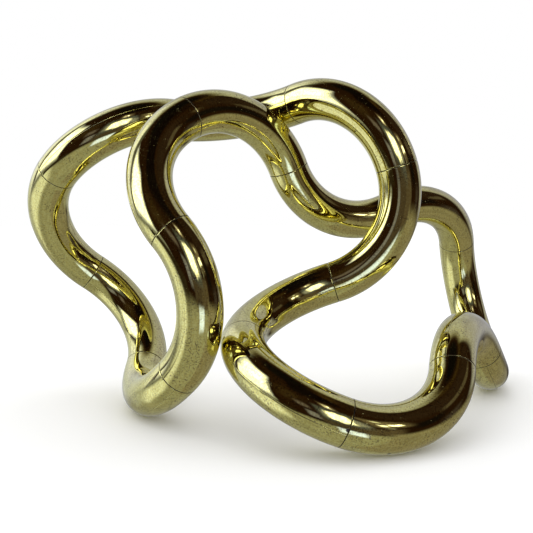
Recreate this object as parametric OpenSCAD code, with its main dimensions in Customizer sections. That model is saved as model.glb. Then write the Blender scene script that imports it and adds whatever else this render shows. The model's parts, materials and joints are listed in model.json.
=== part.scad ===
// Twistable link loop: quarter-turn tube links joined end to end by swivels, in one
// endless closed loop. Millimetres, +Z up, standing on the plane z = 0.
//
// Joint i lies where link i begins and link i - 1 ends. Link i is a quarter circle from
// joint i to joint i + 1, so the axes of neighbouring joints are square to each other.

/* [Tube] */
// Outer diameter of the tube
tube_d = 19; // [14:0.5:19.5]
// Radius of each link's bend, measured to the middle of the tube
bend_r = 42; // [42:1:60]
// Wall thickness of the two shells of a link
wall = 1.6; // [1.2:0.1:2]
// Gap between the two shells of a link along their parting line
parting_gap = 0.06; // [0.02:0.02:0.2]

/* [Swivels] */
// Gap between the end faces of two neighbouring links
joint_gap = 0.3; // [0.2:0.1:1]
// Radius of the hole in a link's end wall that the swivel pin turns in
bore_r = 4; // [3:0.5:5]
// Running clearance between the pin and that hole
pin_play = 0.05; // [0.02:0.01:0.1]
// Thickness of the end wall that a pin snaps through
snap_wall = 2; // [1.5:0.5:4]
// Thickness of the end wall in front of the flange of a link's own pin
front_wall = 1.5; // [1:0.5:3]
// Thickness of the wall behind that flange
back_wall = 1.5; // [1:0.5:3]
// Radius of the flange that fixes a pin in its own link
flange_r = 6; // [5.5:0.25:6.5]
// Thickness of the flange
flange_t = 1.6; // [1:0.2:3]
// Radius of the snap head at its widest
head_r = 4.8; // [4.6:0.1:5.5]
// Length of the snap head
head_l = 3; // [2:0.5:5]
// Width of the slot that lets the snap head spring through the end wall
slot_w = 1.4; // [1:0.2:2]

/* [Placing] */
// Turn of the whole loop about the vertical, in degrees
heading = 143; // [0:1:359]

/* [Hidden] */
// Turn of each link about the joint it starts from, in degrees, for joints 1 to 16. At 0
// a link carries on round the same circle as the link before, at 180 it makes an S bend.
// The turns at joints 17 and 0 follow, because the loop is closed.
turns = [-121, 56, -89, 82, 42, -155, 104, -36, -101, -39, 30, -134, 162, 13, -67, -160];
// The three links that touch the surface, in the order that makes their plane face down
resting_links = [2, 13, 11];
// The loop is a closed chain, so one of its joints is left open and has this much more room
open_joint = 6;
open_play = 0.3;
// Clearance around the flange in its groove, and behind the snap head
groove_play = 0.02;
head_play = 0.15;
// How deep the slot of the snap head is, measured from its tip
slot_l = head_l + snap_wall;
// Steps that share out the misfit of whole-degree turns, and that level the loop
closing_steps = 120;
settling_steps = 12;
shell_colour = [0.83, 0.74, 0.40];
pin_colour = [0.92, 0.92, 0.88];
$fn = 96;

tube_r = tube_d / 2;
links = len(turns) + 2;
// Depth of the far end wall, with the groove for the flange
seat_l = front_wall + flange_t + back_wall;

// ---- The loop in a frame of its own, given by joint axes of unit length ----

function next(i) = (i + 1) % links;
function before(i) = (i + links - 1) % links;
function unit(v) = v / norm(v);

// Axis of the joint after b, where a is the axis of the joint before b
function turned_axis(a, b, turn) = cross(a, b) * sin(turn) - a * cos(turn);
function chain_axes(axes, i = 0) =
    i == len(turns) ? axes
    : chain_axes(concat(axes, [turned_axis(axes[i], axes[i + 1], turns[i])]), i + 1);

// One step towards a closed loop: the axes add up to zero, and neighbours are square
function total(list) = [for (v = list) 1] * list;
function centred(axes) = let (middle = total(axes) / links) [for (a = axes) a - middle];
function squared(axes) = [
    for (i = [0 : links - 1])
        let (a = axes[i], b = axes[next(i)], c = axes[before(i)])
        unit(a - (a * b) / 2 * b - (a * c) / 2 * c)
];
function closed(axes, steps) = steps == 0 ? axes : closed(squared(centred(axes)), steps - 1);

axes = closed(chain_axes([[1, 0, 0], [0, 1, 0]]), closing_steps);

// Centre of each joint: a link moves on by its radius along both of its joints' axes
function joint_centres(i = 0, at = [0, 0, 0]) =
    i == links ? []
    : concat([at], joint_centres(i + 1, at + bend_r * (axes[i] + axes[next(i)])));
joints = joint_centres();

function bend_centre(i) = joints[i] + bend_r * axes[next(i)];

// ---- Where a link's tube reaches farthest in a direction ----

function on_bend(i, angle) =
    bend_centre(i) + bend_r * (sin(angle) * axes[i] - cos(angle) * axes[next(i)]);
function rim(i, dir) = joints[i] + tube_r * unit(dir - (dir * axes[i]) * axes[i]);
function farther(p, q, dir) = p * dir > q * dir ? p : q;
function farthest(i, dir) =
    let (angle = atan2(axes[i] * dir, -axes[next(i)] * dir))
    angle >= 0 && angle <= 90 ? on_bend(i, angle) + tube_r * dir
    : farther(rim(i, dir), rim(next(i), dir), dir);
function reach(dir) = max([for (i = [0 : links - 1]) farthest(i, dir) * dir]);

// ---- The loop set down on its three resting links ----

function facing(p, q, s) = unit(cross(q - p, s - p));
function settled(down, steps) =
    steps == 0 ? down
    : let (touch = [for (i = resting_links) farthest(i, down)])
      settled(facing(touch[0], touch[1], touch[2]), steps - 1);

first_down = facing(joints[resting_links[0]], joints[resting_links[1]], joints[resting_links[2]]);
up = -settled(first_down, settling_steps);
level = unit(axes[0] - (axes[0] * up) * up);
right = cos(heading) * level + sin(heading) * cross(up, level);
ahead = cross(up, right);

// Middle of the base of the loop's bounding box
base = right * (reach(right) - reach(-right)) / 2
     + ahead * (reach(ahead) - reach(-ahead)) / 2
     - up * reach(-up);

function placed(v) = [v * right, v * ahead, v * up];

// Frame of link i: its bend lies in the XY plane about the origin, from +X round to +Y
function link_frame(i) =
    let (
        x = placed(-axes[next(i)]),
        y = placed(axes[i]),
        z = cross(x, y),
        o = placed(bend_centre(i) - base)
    )
    [for (n = [0 : 2]) [x[n], y[n], z[n], o[n]]];

module at_link(i) {
    multmatrix(link_frame(i)) children();
}

// ---- The pieces of one link, in the link's own frame ----

module tube_bend(radius) {
    rotate_extrude(angle = 90) translate([bend_r, 0]) circle(r = radius);
}

// Everything of the link beyond the given depths from its start and end faces
module beyond(start_depth, end_depth, side_depth) {
    translate([end_depth, start_depth, side_depth]) cube(bend_r + tube_d);
}

// Cylinder on the axis of the link's start joint, from one depth to another
module start_bore(radius, depth) {
    translate([bend_r, -1, 0]) rotate([-90, 0, 0]) cylinder(r = radius, h = depth + 2);
}

// The same on the axis of its end joint
module end_bore(radius, from, length) {
    translate([from, bend_r, 0]) rotate([0, 90, 0]) cylinder(r = radius, h = length);
}

// Inside of the tube between the two end walls
module hollow() {
    intersection() {
        tube_bend(tube_r - wall);
        beyond(snap_wall + joint_gap / 2, seat_l + joint_gap / 2, -tube_r);
    }
}

// The half of the link's tube above its bend plane
module half_shell() {
    intersection() {
        difference() {
            tube_bend(tube_r);
            hollow();
            start_bore(bore_r, snap_wall + joint_gap);
            end_bore(bore_r, -1, seat_l + 2);
            end_bore(
                flange_r + groove_play,
                joint_gap / 2 + front_wall - groove_play,
                flange_t + 2 * groove_play
            );
        }
        beyond(joint_gap / 2, joint_gap / 2, parting_gap / 2);
    }
}

module left_shell() {
    color(shell_colour) half_shell();
}

module right_shell() {
    color(shell_colour) mirror([0, 0, 1]) half_shell();
}

// Pin fixed in the link's end: a flange, a shaft and a slotted snap head. It reaches out
// of the link's end face, through the gap and the next link's end wall.
module swivel_pin(play) {
    shaft_r = bore_r - pin_play - play;
    flange_at = joint_gap / 2 + front_wall;
    head_at = -(joint_gap / 2 + snap_wall + head_play + play);
    color(pin_colour) difference() {
        union() {
            end_bore(flange_r, flange_at, flange_t);
            end_bore(shaft_r, head_at, flange_at - head_at);
            translate([head_at, bend_r, 0])
                rotate([0, -90, 0])
                cylinder(r1 = head_r, r2 = shaft_r - slot_w / 2, h = head_l);
        }
        translate([head_at - head_l - 1, bend_r - slot_w / 2, -head_r - 1])
            cube([slot_l + 1, slot_w, 2 * head_r + 2]);
    }
}

// ---- Nodes ----

function number(i) = str(i < 9 ? "0" : "", i + 1);
function name(i, piece) = str("link_", number(i), "_", piece);
PIECES = ["left_shell", "right_shell", "swivel_pin"];

for (i = [0 : links - 1]) {
    at_link(i) left_shell();
    at_link(i) right_shell();
    at_link(i) swivel_pin(next(i) == open_joint ? open_play : 0);
}
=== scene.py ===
"""Looks of the twistable link loop: polished, gold-plated half shells, a pair for each link.

The joints in the frame say where each link lies, and the shells are built in mesh code. The
swivel pins, sealed inside them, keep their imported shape.
"""

import json
import math

import bmesh
import bpy
from mathutils import Matrix, Vector

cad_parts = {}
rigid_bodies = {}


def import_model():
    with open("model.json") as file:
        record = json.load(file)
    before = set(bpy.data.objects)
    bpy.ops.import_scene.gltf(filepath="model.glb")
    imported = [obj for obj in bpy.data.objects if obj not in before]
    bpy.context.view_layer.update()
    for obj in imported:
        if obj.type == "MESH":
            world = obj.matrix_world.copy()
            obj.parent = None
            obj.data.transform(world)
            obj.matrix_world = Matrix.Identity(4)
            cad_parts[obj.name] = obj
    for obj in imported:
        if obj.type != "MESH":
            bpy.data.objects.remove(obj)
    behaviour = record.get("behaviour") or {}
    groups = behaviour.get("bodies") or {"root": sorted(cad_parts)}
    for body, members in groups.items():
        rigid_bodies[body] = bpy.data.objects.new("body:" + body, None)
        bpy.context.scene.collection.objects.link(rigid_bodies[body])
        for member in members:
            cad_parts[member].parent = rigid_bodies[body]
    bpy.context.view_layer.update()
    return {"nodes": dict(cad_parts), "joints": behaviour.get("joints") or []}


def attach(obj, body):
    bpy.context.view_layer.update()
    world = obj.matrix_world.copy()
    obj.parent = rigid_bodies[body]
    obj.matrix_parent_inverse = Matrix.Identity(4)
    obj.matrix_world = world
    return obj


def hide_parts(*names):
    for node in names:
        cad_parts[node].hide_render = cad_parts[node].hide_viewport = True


MM = 0.001
LINKS = 18

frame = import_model()

# ---- The camera, at the viewing angle of the reference view ----

CAMERA_PLACE = Vector((-5.2, -357.9, 89.4)) * MM
CAMERA_TILT = math.radians(6.38)  # below the horizon
CAMERA_PAN = math.radians(0.19)  # to the right
CAMERA_LENS = 51.71
CAMERA_SHIFT = 0.0651


def make_camera():
    data = bpy.data.cameras.new("camera")
    data.sensor_width = 36
    data.lens = CAMERA_LENS
    data.shift_y = CAMERA_SHIFT
    camera = bpy.data.objects.new("camera", data)
    camera.location = CAMERA_PLACE
    camera.rotation_euler = (math.pi / 2 - CAMERA_TILT, 0, CAMERA_PAN)
    bpy.context.scene.collection.objects.link(camera)
    bpy.context.scene.camera = camera


# ---- The loop's joints, from the frame ----


def joint_number(joint):
    """Joint i lies between link i - 1 and link i, and links are numbered from 0 here."""
    ends = sorted(int(body.split("_")[1]) - 1 for body in (joint["parent"], joint["child"]))
    return 0 if ends == [0, LINKS - 1] else ends[1]


def joint_frames():
    """Centre and axis of every joint. The frame leaves one joint of the closed loop open, and
    it follows from its neighbours: a link moves on by its bend radius along both its axes."""
    centres = {joint_number(j): Vector(j["pos_m"]) for j in frame["joints"]}
    axes = {joint_number(j): Vector(j["axis"]) for j in frame["joints"]}
    missing = next(i for i in range(LINKS) if i not in axes)
    before, after = (missing - 1) % LINKS, (missing + 1) % LINKS
    away = (missing + 3) % LINKS
    bend = (centres[away] - centres[(away - 1) % LINKS]).length / math.sqrt(2)
    span = (centres[after] - centres[before]) / bend
    axes[missing] = ((span - axes[before] - axes[after]) / 2).normalized()
    centres[missing] = centres[before] + bend * (axes[before] + axes[missing])
    return centres, axes, bend, missing


CENTRES, AXES, BEND_R, OPEN_JOINT = joint_frames()


def to_world(i):
    """Frame of link i: its bend lies in the XY plane about the origin, from +X round to +Y."""
    start, end = AXES[i], AXES[(i + 1) % LINKS]
    x, y = -end, start
    turn = Matrix((x, y, x.cross(y))).transposed().to_4x4()
    return Matrix.Translation(CENTRES[i] + BEND_R * end) @ turn


def tube_radius():
    """The farthest that the first link's shell reaches from its bend's middle line."""
    inverse = to_world(0).inverted()
    reach = 0
    for vertex in frame["nodes"]["link_01_left_shell"].data.vertices:
        p = inverse @ vertex.co
        across = math.hypot(p.x, p.y) - BEND_R
        reach = max(reach, math.hypot(across, p.z))
    return reach


TUBE_R = tube_radius()

# ---- One half shell of a link, as a mesh ----

WALL = 1.6 * MM
BORE_R = 4.0 * MM
FLANGE_R = 6.02 * MM  # groove for the flange of the swivel pin
SEAM_GAP = 0.18 * MM  # between two links' faces
OPEN_SEAM_GAP = 0.3 * MM  # the same where the frame leaves the loop open
PARTING_GAP = 0.06 * MM  # between the two shells of a link
# depths inside a link, from the joint's plane
SNAP_WALL = 2.15 * MM  # inner side of the wall at the start
SEAT = 4.75 * MM  # and of the wall at the end
FLANGE_NEAR = 1.63 * MM  # sides of the groove
FLANGE_FAR = 3.27 * MM
EDGE_ROUND = 0.18 * MM  # rounding of the shell's edges at the joints
SEAM_ROUND = 0.12 * MM  # and along its parting line
ROUND_STEPS = 3  # facets of a rounded edge
SEAM_FACES = 2  # those of them that lie in the seam, painted dark for the shade there, with dirt
HALF_STEPS = 36  # facets round the half tube
BEND_STEPS = 44  # and along the bend
# where the first and last of those facets start, as a share of one, to keep the shading clean
# next to a rounded edge
SUPPORT_ROUND = 0.2
SUPPORT_ALONG = 0.6
HOLLOW_CLEAR = 0.12  # of the bend, left to the end walls


def across_points(radius):
    """Outline of the half tube's outside: distances out from the middle of the tube, in the
    bend's plane and up from it. The two parting edges are rounded."""
    mid_z = PARTING_GAP / 2 + SEAM_ROUND
    mid_x = math.sqrt((radius - SEAM_ROUND) ** 2 - mid_z**2)
    tangent = math.atan2(mid_z, mid_x)
    corner = []
    for step in range(ROUND_STEPS + 1):
        a = -math.pi / 2 + (tangent + math.pi / 2) * step / ROUND_STEPS
        corner.append((mid_x + SEAM_ROUND * math.cos(a), mid_z + SEAM_ROUND * math.sin(a)))
    arc = []
    for step in (SUPPORT_ROUND, *range(1, HALF_STEPS), HALF_STEPS - SUPPORT_ROUND):
        a = tangent + (math.pi - 2 * tangent) * step / HALF_STEPS
        arc.append((radius * math.cos(a), radius * math.sin(a)))
    return corner + arc + [(-x, z) for x, z in reversed(corner)]


def inner_points(radius, count):
    """The same for the inside, which has sharp edges, in any number of points."""
    first = math.asin(PARTING_GAP / 2 / radius)
    angles = [first + (math.pi - 2 * first) * i / (count - 1) for i in range(count)]
    return [(radius * math.cos(a), radius * math.sin(a)) for a in angles]


def on_start_plane(points, depth):
    """An outline of the bend, cut off square at a depth from the joint at the link's start."""
    return [(math.sqrt((BEND_R + u) ** 2 - depth**2), depth, w) for u, w in points]


def on_end_plane(points, depth):
    """The same at the link's end."""
    return [(depth, math.sqrt((BEND_R + u) ** 2 - depth**2), w) for u, w in points]


def on_bend(points, angle):
    """An outline of the bend, square to it, at an angle from its start."""
    x, y = math.cos(angle), math.sin(angle)
    return [((BEND_R + u) * x, (BEND_R + u) * y, w) for u, w in points]


def rounded_rim(gap):
    """Depths and tube radii that round the rim at a joint, from its face to the full tube."""
    rim = []
    for step in range(ROUND_STEPS + 1):
        a = math.pi / 2 * step / ROUND_STEPS
        depth = gap / 2 + EDGE_ROUND * (1 - math.cos(a))
        rim.append((depth, TUBE_R - EDGE_ROUND * (1 - math.sin(a))))
    return rim + [(gap / 2 + 2 * EDGE_ROUND, TUBE_R)]


def outer_rings(start_gap, end_gap):
    """Rings of the outside from the start face to the end face, with rounded rims."""
    start, end = rounded_rim(start_gap), rounded_rim(end_gap)
    rings = [on_start_plane(across_points(radius), depth) for depth, radius in start]
    outline = across_points(TUBE_R)
    margin = SUPPORT_ALONG / BEND_STEPS
    for step in range(BEND_STEPS + 1):
        part = margin + (1 - 2 * margin) * step / BEND_STEPS
        rings.append(on_bend(outline, math.pi / 2 * part))
    return rings + [on_end_plane(across_points(radius), depth) for depth, radius in reversed(end)]


def inner_rings(start_gap, end_gap, count):
    """Rings of the inside: the bore of each end wall, the hollow between the walls, and the
    groove in the wall at the end."""
    bore = inner_points(BORE_R, count)
    groove = inner_points(FLANGE_R, count)
    hollow = inner_points(TUBE_R - WALL, count)
    rings = [[(BEND_R + u, depth, w) for u, w in bore] for depth in (start_gap / 2, SNAP_WALL)]
    rings.append(on_start_plane(hollow, SNAP_WALL))
    steps = BEND_STEPS // 2
    for step in range(steps + 1):
        part = HOLLOW_CLEAR + (1 - 2 * HOLLOW_CLEAR) * step / steps
        rings.append(on_bend(hollow, math.pi / 2 * part))
    rings.append(on_end_plane(hollow, SEAT))
    for depth, points in (
        (SEAT, bore),
        (FLANGE_FAR, bore),
        (FLANGE_FAR, groove),
        (FLANGE_NEAR, groove),
        (FLANGE_NEAR, bore),
        (end_gap / 2, bore),
    ):
        rings.append([(depth, BEND_R + u, w) for u, w in points])
    return rings


def add_grid(mesh, rings, smooth, seam=0):
    """Makes quads between rings of points, and gives the vertices, ring by ring. A smooth grid is
    the plated outside: its first and last quads, as many as seam says along the bend and one
    fewer round the tube, lie in the seams. They have the second material, which paints shade and
    dirt dark in the seams, as every quad of the inside has."""
    grid = [[mesh.verts.new(p) for p in ring] for ring in rings]
    for j, (here, there) in enumerate(zip(grid, grid[1:])):
        for i in range(len(here) - 1):
            face = mesh.faces.new((here[i], here[i + 1], there[i + 1], there[i]))
            face.smooth = smooth
            in_rim = min(j, len(grid) - 2 - j) < seam
            in_parting = min(i, len(here) - 2 - i) < seam - 1
            # seam and parting quads take the second material: painted shade, with dirt
            face.material_index = 1 if in_rim or in_parting or not smooth else 0
    return grid


def half_shell(name, i, side, body):
    """Half a link on one side of its bend's plane, riding on a body. It is a closed solid:
    outside, inside, two end faces and two parting faces."""
    joints = (i, (i + 1) % LINKS)
    gaps = [OPEN_SEAM_GAP if joint == OPEN_JOINT else SEAM_GAP for joint in joints]
    mesh = bmesh.new()
    outside = add_grid(mesh, outer_rings(*gaps), True, SEAM_FACES)
    inside = add_grid(mesh, inner_rings(*gaps, len(outside[0])), False)
    # end faces and parting faces take the painted seam shade too
    for out, inn in ((outside[0], inside[0]), (outside[-1], inside[-1])):
        for a in range(len(out) - 1):
            mesh.faces.new((out[a], out[a + 1], inn[a + 1], inn[a])).material_index = 1
    for edge in (0, -1):
        loop = [ring[edge] for ring in outside] + [ring[edge] for ring in reversed(inside)]
        mesh.faces.new(loop).material_index = 1
    if side < 0:
        bmesh.ops.scale(mesh, vec=(1, 1, -1), verts=mesh.verts)
    bmesh.ops.transform(mesh, matrix=to_world(i), verts=mesh.verts)
    bmesh.ops.recalc_face_normals(mesh, faces=mesh.faces)
    data = bpy.data.meshes.new(name)
    mesh.to_mesh(data)
    mesh.free()
    piece = bpy.data.objects.new(name, data)
    bpy.context.scene.collection.objects.link(piece)
    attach(piece, body)
    return piece


# ---- Materials ----

RANGE_SOCKETS = ("From Min", "From Max", "To Min", "To Max")
# scales of the plating's patterns, per metre: a feature is about 1 / scale across
SMUDGE_SCALE = 55
NICK_SCALE = 62
WAVE_SCALE = 90
WEAR_SCALE = 140
SCRATCH_SCALE = 150
FINE_SCRATCH_SCALE = 420
CLOUD_SCALE = 1200
DUST_SCALE = 1300
GRAIN_SCALE = 1400
NICK_RADIUS = 0.075  # of a nick's cell
GOLD_LIGHT = (1.0, 0.95, 0.37)
GOLD_DARK = (0.87, 0.77, 0.25)
PIT_COLOUR = (0.28, 0.22, 0.10)
NICK_COLOUR = (0.08, 0.06, 0.035)
DUST_COLOUR = (0.42, 0.38, 0.30)
# dirt and painted shade of the seams: near black for the gaps between links, where little light
# gets in
DIRT_AND_SHADE_DARK = (0.012, 0.007, 0.005)
DIRT_AND_SHADE_LIGHT = (0.05, 0.035, 0.02)
PLASTIC_COLOUR = (0.78, 0.77, 0.70)


def new_material(name):
    """A material, with its nodes, its links and its shader."""
    material = bpy.data.materials.new(name)
    material.use_nodes = True
    nodes = material.node_tree.nodes
    return material, nodes, material.node_tree.links, nodes["Principled BSDF"]


def noise(nodes, links, where, scale, detail=2.0):
    node = nodes.new("ShaderNodeTexNoise")
    node.inputs["Scale"].default_value = scale
    node.inputs["Detail"].default_value = detail
    links.new(where, node.inputs["Vector"])
    return node.outputs["Fac"]


def ramp(nodes, links, value, low, high, to_low, to_high):
    """Maps a value from one range to another, and holds it at the ends."""
    node = nodes.new("ShaderNodeMapRange")
    for socket, number in zip(RANGE_SOCKETS, (low, high, to_low, to_high)):
        node.inputs[socket].default_value = number
    links.new(value, node.inputs["Value"])
    return node.outputs["Result"]


def maths(nodes, links, operation, a, b=0):
    """A sum, product or the like of two values, each a number or a socket."""
    node = nodes.new("ShaderNodeMath")
    node.operation = operation
    for socket, value in zip(node.inputs, (a, b)):
        if isinstance(value, (int, float)):
            socket.default_value = value
        else:
            links.new(value, socket)
    return node.outputs[0]


def mixed(nodes, links, factor, a, b):
    """Blend of two colours, each a tuple or a socket."""
    node = nodes.new("ShaderNodeMix")
    node.data_type = "RGBA"
    for socket, value in ((node.inputs["A"], a), (node.inputs["B"], b)):
        if isinstance(value, tuple):
            socket.default_value = (*value, 1)
        else:
            links.new(value, socket)
    links.new(factor, node.inputs["Factor"])
    return node.outputs["Result"]


def hairlines(nodes, links, where, scale, width, share):
    """Thin wandering lines, broken into short lengths: 1 on a line and 0 off it. The higher
    the share, from 0 to 1, the less of each line is left."""
    field = noise(nodes, links, where, scale, 0)
    off = maths(nodes, links, "ABSOLUTE", maths(nodes, links, "SUBTRACT", field, 0.5))
    line = ramp(nodes, links, off, 0, width, 1, 0)
    breaks = noise(nodes, links, where, scale * 1.7, 1)
    lengths = ramp(nodes, links, breaks, share, share + 0.06, 0, 1)
    return maths(nodes, links, "MULTIPLY", line, lengths)


def nicks(nodes, links, where, scale, radius):
    """Sparse small marks, one somewhere in each cell, and most too small to see."""
    node = nodes.new("ShaderNodeTexVoronoi")
    node.inputs["Scale"].default_value = scale
    links.new(where, node.inputs["Vector"])
    edge = noise(nodes, links, where, scale * 14, 2)
    ragged = maths(nodes, links, "MULTIPLY", edge, radius * 1.1)
    distance = maths(nodes, links, "ADD", node.outputs["Distance"], ragged)
    return ramp(nodes, links, distance, radius, radius * 1.25, 1, 0)


def gold_plating():
    """Polished pale gold plating under clear lacquer, with clouding, pits, dust, hairline
    scratches and nicks."""
    material, nodes, links, shader = new_material("gold_plating")
    where = nodes.new("ShaderNodeTexCoord").outputs["Object"]

    wear = noise(nodes, links, where, WEAR_SCALE, 3)
    worn = ramp(nodes, links, wear, 0.36, 0.62, 0.08, 1)
    grain = noise(nodes, links, where, GRAIN_SCALE, 2)
    pits = maths(nodes, links, "MULTIPLY", ramp(nodes, links, grain, 0.53, 0.64, 0, 1), worn)
    marks = nicks(nodes, links, where, NICK_SCALE, NICK_RADIUS)
    dust = ramp(nodes, links, noise(nodes, links, where, DUST_SCALE, 1), 0.75, 0.78, 0, 0.2)
    scratches = hairlines(nodes, links, where, SCRATCH_SCALE, 0.006, 0.52)
    fine_scratches = hairlines(nodes, links, where, FINE_SCRATCH_SCALE, 0.012, 0.5)

    clouding = noise(nodes, links, where, CLOUD_SCALE, 3)
    clouds = ramp(nodes, links, clouding, 0.36, 0.64, 0, 1)
    colour = mixed(nodes, links, clouds, GOLD_LIGHT, GOLD_DARK)
    flecks = maths(nodes, links, "MULTIPLY", pits, 0.75)
    colour = mixed(nodes, links, flecks, colour, PIT_COLOUR)
    colour = mixed(nodes, links, marks, colour, NICK_COLOUR)
    colour = mixed(nodes, links, dust, colour, DUST_COLOUR)
    links.new(colour, shader.inputs["Base Color"])
    links.new(maths(nodes, links, "SUBTRACT", 1.0, dust), shader.inputs["Metallic"])

    smudges = noise(nodes, links, where, SMUDGE_SCALE, 4)
    roughness = ramp(nodes, links, smudges, 0.45, 0.75, 0.02, 0.06)
    for value, amount in ((scratches, 0.15), (fine_scratches, 0.05), (marks, 0.4), (dust, 0.5)):
        more = maths(nodes, links, "MULTIPLY", value, amount)
        roughness = maths(nodes, links, "ADD", roughness, more)
    links.new(roughness, shader.inputs["Roughness"])
    shader.inputs["Coat Weight"].default_value = 0.35  # clear lacquer
    shader.inputs["Coat Roughness"].default_value = 0.03
    shader.inputs["Coat IOR"].default_value = 1.45

    # relief, in micrometres: the plastic's slight waves under the plating, the grain, the
    # scratches and the nicks
    normal = None
    for height, depth in (
        (noise(nodes, links, where, WAVE_SCALE, 1), 6.0),
        (grain, 1.0),
        (scratches, -0.8),
        (marks, -3.0),
    ):
        bump = nodes.new("ShaderNodeBump")
        bump.inputs["Strength"].default_value = 1.0
        bump.inputs["Distance"].default_value = abs(depth) * MM / 1000
        bump.invert = depth < 0
        links.new(height, bump.inputs["Height"])
        if normal:
            links.new(normal, bump.inputs["Normal"])
        normal = bump.outputs["Normal"]
    links.new(normal, shader.inputs["Normal"])
    return material


def seam_dirt_and_painted_shade():
    """Bare edges of the shells in the seams, dark with dirt and with painted shade: the colour
    stands in for the shade in the narrow gaps, where little light gets in.
    """
    material, nodes, links, shader = new_material("seam_dirt_and_painted_shade")
    where = nodes.new("ShaderNodeTexCoord").outputs["Object"]
    patches = ramp(nodes, links, noise(nodes, links, where, 500, 3), 0.35, 0.7, 0, 1)
    # painted shade, with dirt: the seam faces are coloured near black for the shade in the gaps
    colour = mixed(nodes, links, patches, DIRT_AND_SHADE_DARK, DIRT_AND_SHADE_LIGHT)
    links.new(colour, shader.inputs["Base Color"])
    shader.inputs["Roughness"].default_value = 0.7
    return material


def swivel_plastic():
    """Moulded pale plastic of the pins."""
    material, nodes, links, shader = new_material("swivel_plastic")
    where = nodes.new("ShaderNodeTexCoord").outputs["Object"]
    shader.inputs["Base Color"].default_value = (*PLASTIC_COLOUR, 1)
    grain = noise(nodes, links, where, 900, 3)
    links.new(ramp(nodes, links, grain, 0.3, 0.7, 0.38, 0.55), shader.inputs["Roughness"])
    bump = nodes.new("ShaderNodeBump")
    bump.inputs["Strength"].default_value = 0.2
    bump.inputs["Distance"].default_value = 0.03 * MM
    links.new(grain, bump.inputs["Height"])
    links.new(bump.outputs["Normal"], shader.inputs["Normal"])
    return material


# ---- The studio: surroundings, floor and light ----

# Soft shapes round the object: azimuth and elevation of the middle (azimuth 0 is the
# camera's side, + to the right), half width, half height, soft edge, all in degrees, and
# the light's colour. A later one covers the ones before it.
SURROUNDINGS = [
    ("cupboard_left", -32, 33, 14, 14, 8, (0.030, 0.017, 0.008)),
    ("shelf_right", 95, 67, 28, 4, 3, (0.035, 0.02, 0.008)),
    ("wall_right", 86, 45, 20, 14, 8, (0.022, 0.012, 0.009)),
    ("picture_right", 89, 27, 11, 5, 3, (0.075, 0.06, 0.055)),
    ("chair_right", 70, 12, 9, 9, 5, (0.006, 0.004, 0.004)),
    ("chair_back", 91, -4, 9, 7, 5, (0.04, 0.03, 0.035)),
    ("zenith", 0, 90, 181, 15, 6, (0.004, 0.003, 0.003)),
    ("ceiling", 18, 68, 40, 13, 6, (0.004, 0.002, 0.002)),
    ("backdrop_top", 174, 47, 59, 20, 6, (0.17, 0.15, 0.10)),
    ("backdrop", 180, 28, 62, 34, 8, (0.42, 0.43, 0.50)),
    ("backdrop_right", 136, 22, 18, 26, 10, (0.34, 0.34, 0.47)),
    ("backdrop_left", -134, 25, 21, 31, 8, (0.72, 0.75, 0.95)),
    ("backdrop_by_window", -125, 24, 9, 28, 5, (0.98, 1.03, 1.25)),
    ("floor", 0, -56, 181, 39.5, 5, (0.285, 0.285, 0.26)),
    ("table_edge", 7, -7, 14, 8, 4, (0.06, 0.045, 0.04)),
    ("table_far", 37, -4, 17, 12, 4, (0.085, 0.065, 0.055)),
    ("table_leg", 54, -17, 9, 3.5, 2.5, (0.035, 0.025, 0.02)),
    ("floor_right", 96, -50, 50, 38.5, 6, (0.225, 0.205, 0.18)),
    ("floor_back", -166, -9, 36, 12, 6, (0.37, 0.38, 0.42)),
    ("floor_back_left", -150, -3, 30, 9, 7, (0.60, 0.63, 0.64)),
    ("floor_left", -118, -20, 14, 14, 7, (0.42, 0.44, 0.46)),
    ("floor_by_window", -85, -27, 23, 17, 8, (0.78, 0.82, 0.90)),
    ("window_sill", -84, -5, 30, 3.5, 2, (0.20, 0.21, 0.25)),
    ("sofa_left", -58, -12, 22, 3.5, 2, (0.025, 0.018, 0.012)),
    ("window_curtain", -80, 24, 23, 27, 3, (0.68, 0.72, 1.05)),
    ("window", -79, 25, 17, 21, 5, (2.7, 2.8, 3.0)),
    ("window_low", -81.5, 10, 21.5, 8, 3, (2.0, 2.1, 2.3)),
    ("window_frame", -112, 46, 6, 17, 4, (0.09, 0.09, 0.09)),
    ("front_door_glow", 15, 19, 19, 18, 5, (0.09, 0.10, 0.14)),
    ("front_door_halo", 18, 17, 18, 8, 4, (0.30, 0.31, 0.40)),
    ("front_door", 16, 18.5, 11, 10, 3.5, (2.7, 2.7, 2.9)),
    ("front_door_sun", 16, 18, 3, 13, 3, (2.2, 2.2, 2.3)),
    ("table_card", 15, -24.5, 12, 7.5, 3.5, (0.95, 1.15, 2.2)),
    ("lamp_high", 19, 45, 9, 6, 3, (0.12, 0.09, 0.08)),
    ("lamp_high_glow", 18, 44.5, 4.5, 4, 2, (0.7, 0.65, 0.7)),
    ("lamp_high_core", 20, 45, 1.2, 1.5, 1, (3.0, 3.0, 3.2)),
    ("lamp_right", 50, 26, 10, 11, 4, (0.15, 0.12, 0.10)),
    ("lamp_right_top", 49, 33, 2, 2, 1, (0.7, 0.7, 0.7)),
    ("lamp_right_middle", 54, 24, 3, 3, 1, (3.0, 3.0, 3.2)),
    ("lamp_right_low", 47, 22, 2, 3, 1.5, (2.0, 2.0, 2.2)),
    ("lamp_right_tail", 48, 13, 2, 3, 2, (0.2, 0.2, 0.22)),
    ("glow_left", -14, 1, 6, 8, 3, (0.19, 0.19, 0.30)),
    ("glow_left_high", -20, 21, 7, 5, 4, (0.12, 0.10, 0.13)),
]
ROOM = (0.017, 0.007, 0.003)  # where there is no shape
PAPER_WHITE = (1.12, 1.12, 1.12)  # light that the floor gets from all round
BACKDROP_WHITE = (1.0, 1.0, 1.0)  # what the camera sees behind the object
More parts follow.
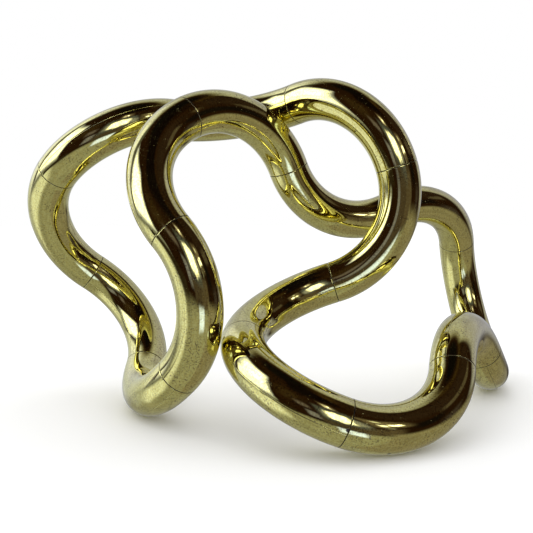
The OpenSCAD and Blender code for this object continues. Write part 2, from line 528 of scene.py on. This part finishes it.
FLOOR_SIZE = 12.0
FLOOR_COLOUR = (0.9, 0.9, 0.9)
SUN_SPREAD = math.radians(50)
SUN_STRENGTH = 0.5
SUN_TURN = (math.radians(-18), math.radians(-14), 0)


def patch_mask(nodes, links, azimuth, elevation, patch):
    """1 inside a soft rectangle of the surroundings and 0 outside it."""
    _, az, el, half_w, half_h, soft, _ = patch
    off = maths(nodes, links, "WRAP", maths(nodes, links, "SUBTRACT", azimuth, az), 180)
    off.node.inputs[2].default_value = -180
    across = maths(nodes, links, "ABSOLUTE", off)
    up = maths(nodes, links, "ABSOLUTE", maths(nodes, links, "SUBTRACT", elevation, el))
    masks = []
    for value, half in ((across, half_w), (up, half_h)):
        mask = ramp(nodes, links, value, half - soft, half + soft, 1, 0)
        mask.node.interpolation_type = "SMOOTHSTEP"
        masks.append(mask)
    return maths(nodes, links, "MULTIPLY", *masks)


def make_surroundings():
    """The room that the metal mirrors, with even white for all other rays."""
    world = bpy.data.worlds.new("studio")
    world.use_nodes = True
    bpy.context.scene.world = world
    nodes, links = world.node_tree.nodes, world.node_tree.links
    direction = nodes.new("ShaderNodeTexCoord").outputs["Generated"]
    parts = nodes.new("ShaderNodeSeparateXYZ")
    links.new(direction, parts.inputs[0])
    x, y, z = parts.outputs
    turn = maths(nodes, links, "ARCTAN2", x, maths(nodes, links, "MULTIPLY", y, -1))
    azimuth = maths(nodes, links, "DEGREES", turn)
    elevation = maths(nodes, links, "DEGREES", maths(nodes, links, "ARCSINE", z))
    room = ROOM
    for patch in SURROUNDINGS:
        mask = patch_mask(nodes, links, azimuth, elevation, patch)
        room = mixed(nodes, links, mask, room, patch[-1])
    # nothing in a room is quite even
    uneven = ramp(nodes, links, noise(nodes, links, direction, 5, 4), 0.3, 0.7, 0.86, 1.14)
    scaled = nodes.new("ShaderNodeVectorMath")
    scaled.operation = "SCALE"
    links.new(room, scaled.inputs[0])
    links.new(uneven, scaled.inputs["Scale"])
    rays = nodes.new("ShaderNodeLightPath").outputs
    seen = mixed(nodes, links, rays["Is Glossy Ray"], PAPER_WHITE, scaled.outputs[0])
    seen = mixed(nodes, links, rays["Is Camera Ray"], seen, BACKDROP_WHITE)
    links.new(seen, nodes["Background"].inputs["Color"])


def make_floor():
    """White paper, which the metal doesn't mirror."""
    bpy.ops.mesh.primitive_plane_add(size=FLOOR_SIZE)
    floor = bpy.context.object
    floor.name = "studio_floor"
    material, _, _, shader = new_material("floor_paper")
    shader.inputs["Base Color"].default_value = (*FLOOR_COLOUR, 1)
    shader.inputs["Roughness"].default_value = 1.0
    shader.inputs["Specular IOR Level"].default_value = 0.0
    floor.data.materials.append(material)
    floor.visible_glossy = False


def make_light():
    """A wide soft light from above, which only the floor and the plastic show."""
    light = bpy.data.lights.new("overhead", "SUN")
    light.angle = SUN_SPREAD
    light.energy = SUN_STRENGTH
    lamp = bpy.data.objects.new("overhead", light)
    lamp.rotation_euler = SUN_TURN
    lamp.visible_glossy = False
    bpy.context.scene.collection.objects.link(lamp)


# ---- Everything together ----

make_camera()
bpy.context.scene.view_settings.view_transform = "Standard"
make_surroundings()
make_floor()
make_light()

gold = gold_plating()
# dirt and painted shade for the seams, the shells' end faces and their inside
dirt_and_shade = seam_dirt_and_painted_shade()
plastic = swivel_plastic()
for i in range(LINKS):
    body = f"link_{i + 1:02d}"
    for side, word in ((1, "left"), (-1, "right")):
        piece = half_shell(f"{body}_{word}_plated", i, side, body)
        piece.data.materials.append(gold)
        piece.data.materials.append(dirt_and_shade)
        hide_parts(f"{body}_{word}_shell")
    for place in frame["nodes"][f"{body}_swivel_pin"].material_slots:
        place.material = plastic
